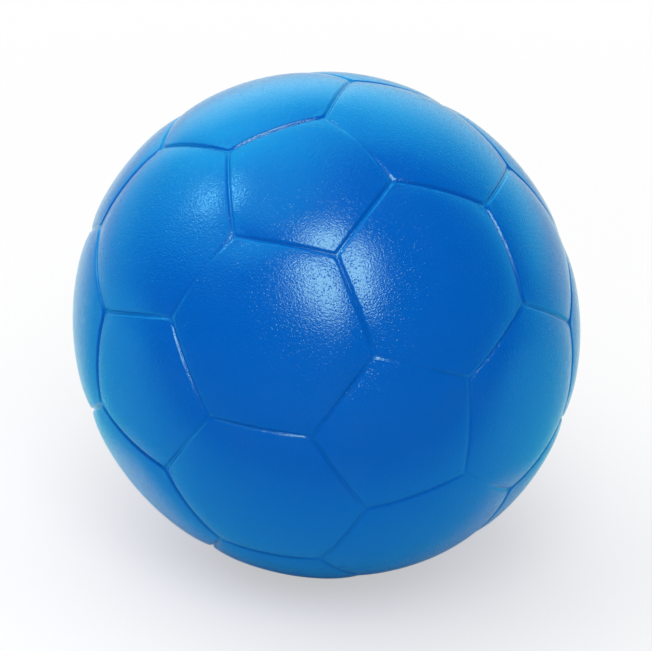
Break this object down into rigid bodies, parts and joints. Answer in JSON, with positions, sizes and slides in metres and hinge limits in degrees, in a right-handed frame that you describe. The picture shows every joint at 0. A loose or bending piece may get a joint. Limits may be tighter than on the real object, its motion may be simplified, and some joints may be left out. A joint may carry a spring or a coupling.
{
  "type": "coated foam ball",
  "caption": "Soft foam play ball in a tough grained coating, with a football's pentagon and hexagon pattern moulded in as shallow grooves.",
  "frame": {"origin": "centre of the ball", "axes": "+X, +Y and +Z each run out through the middle of a groove between two hexagons; the pentagon that the mould opens along lies up and back, between +Z and +Y"},
  "size_m": [0.1988, 0.1988, 0.1988],
  "materials": {
    "skin": "satin",
    "foam": "matte"
  },
  "bodies": {
    "root": {"foam_core": "foam", "skin_upper_half": "skin", "skin_lower_half": "skin"}
  },
  "joints": []
}
